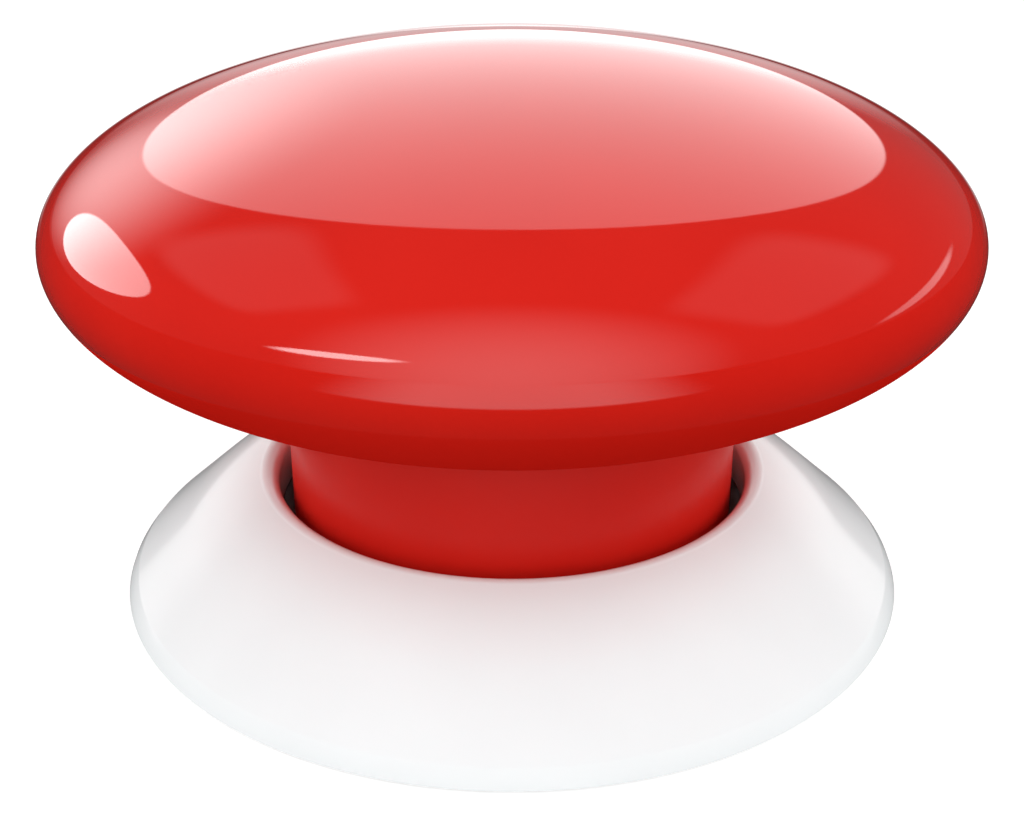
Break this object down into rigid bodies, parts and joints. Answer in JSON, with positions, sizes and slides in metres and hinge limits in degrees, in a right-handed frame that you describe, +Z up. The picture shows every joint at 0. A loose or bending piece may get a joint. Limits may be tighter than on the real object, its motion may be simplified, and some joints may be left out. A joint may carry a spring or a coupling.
{
  "type": "smart button",
  "caption": "Round mushroom push button: a glossy red cap on a neck that presses down into a white domed base that stands on a table.",
  "frame": {"origin": "centre of the underside, on the surface that the button stands on", "axes": "+Z up along the axis of revolution and of the press; the part is round, so +X and +Y are free"},
  "size_m": [0.046, 0.046, 0.0281],
  "materials": {
    "red_plastic": "polished moulded ABS",
    "white_plastic": "polished moulded ABS",
    "floor_plastic": "moulded, fine matt",
    "post_plastic": "moulded acetal",
    "foot_foam": "closed-cell rubber sheet",
    "carrier_plastic": "moulded, fine matt",
    "board_laminate": "solder mask on glass laminate",
    "black_plastic": "moulded",
    "steel_sheet": "plated sheet",
    "spring_wire": "drawn wire",
    "seal_plastic": "moulded",
    "chip_resin": "moulded resin",
    "ceramic": "fired",
    "contact_brass": "plated strip"
  },
  "bodies": {
    "base": {"base_cover": "white_plastic", "return_spring": "spring_wire"},
    "floor": {"base_floor": "floor_plastic", "switch_post": "post_plastic", "foot_pad": "foot_foam"},
    "button": {"cap_dome": "red_plastic", "cap_skirt": "red_plastic", "carrier": "carrier_plastic", "circuit_board": "board_laminate", "cell_holder": "black_plastic", "cell_can": "steel_sheet", "cell_seal": "seal_plastic", "cell_cap": "steel_sheet", "positive_clip": "steel_sheet", "negative_contact": "contact_brass", "switch_housing": "black_plastic", "switch_cover": "steel_sheet", "switch_legs": "steel_sheet", "radio_chip": "chip_resin", "crystal": "steel_sheet", "chip_antenna": "ceramic", "chip_parts": "ceramic"},
    "plunger": {"switch_plunger": "black_plastic"}
  },
  "joints": [
    {"name": "press", "type": "slide", "parent": "base", "child": "button", "axis": [0, 0, 1], "range_m": [-0.001, 0], "stiffness_N_per_m": 800, "springref_m": 0.00125, "deforming": ["return_spring"]},
    {"name": "floor_twist", "type": "hinge", "parent": "base", "child": "floor", "pos_m": [0, 0, 0], "axis": [0, 0, 1], "range_deg": [0, 32]},
    {"name": "plunger_slide", "type": "slide", "parent": "button", "child": "plunger", "axis": [0, 0, 1], "range_m": [0, 0.001]}
  ],
  "couplings": [
    {"joint": "plunger_slide", "follows": "press", "ratio": -1}
  ]
}
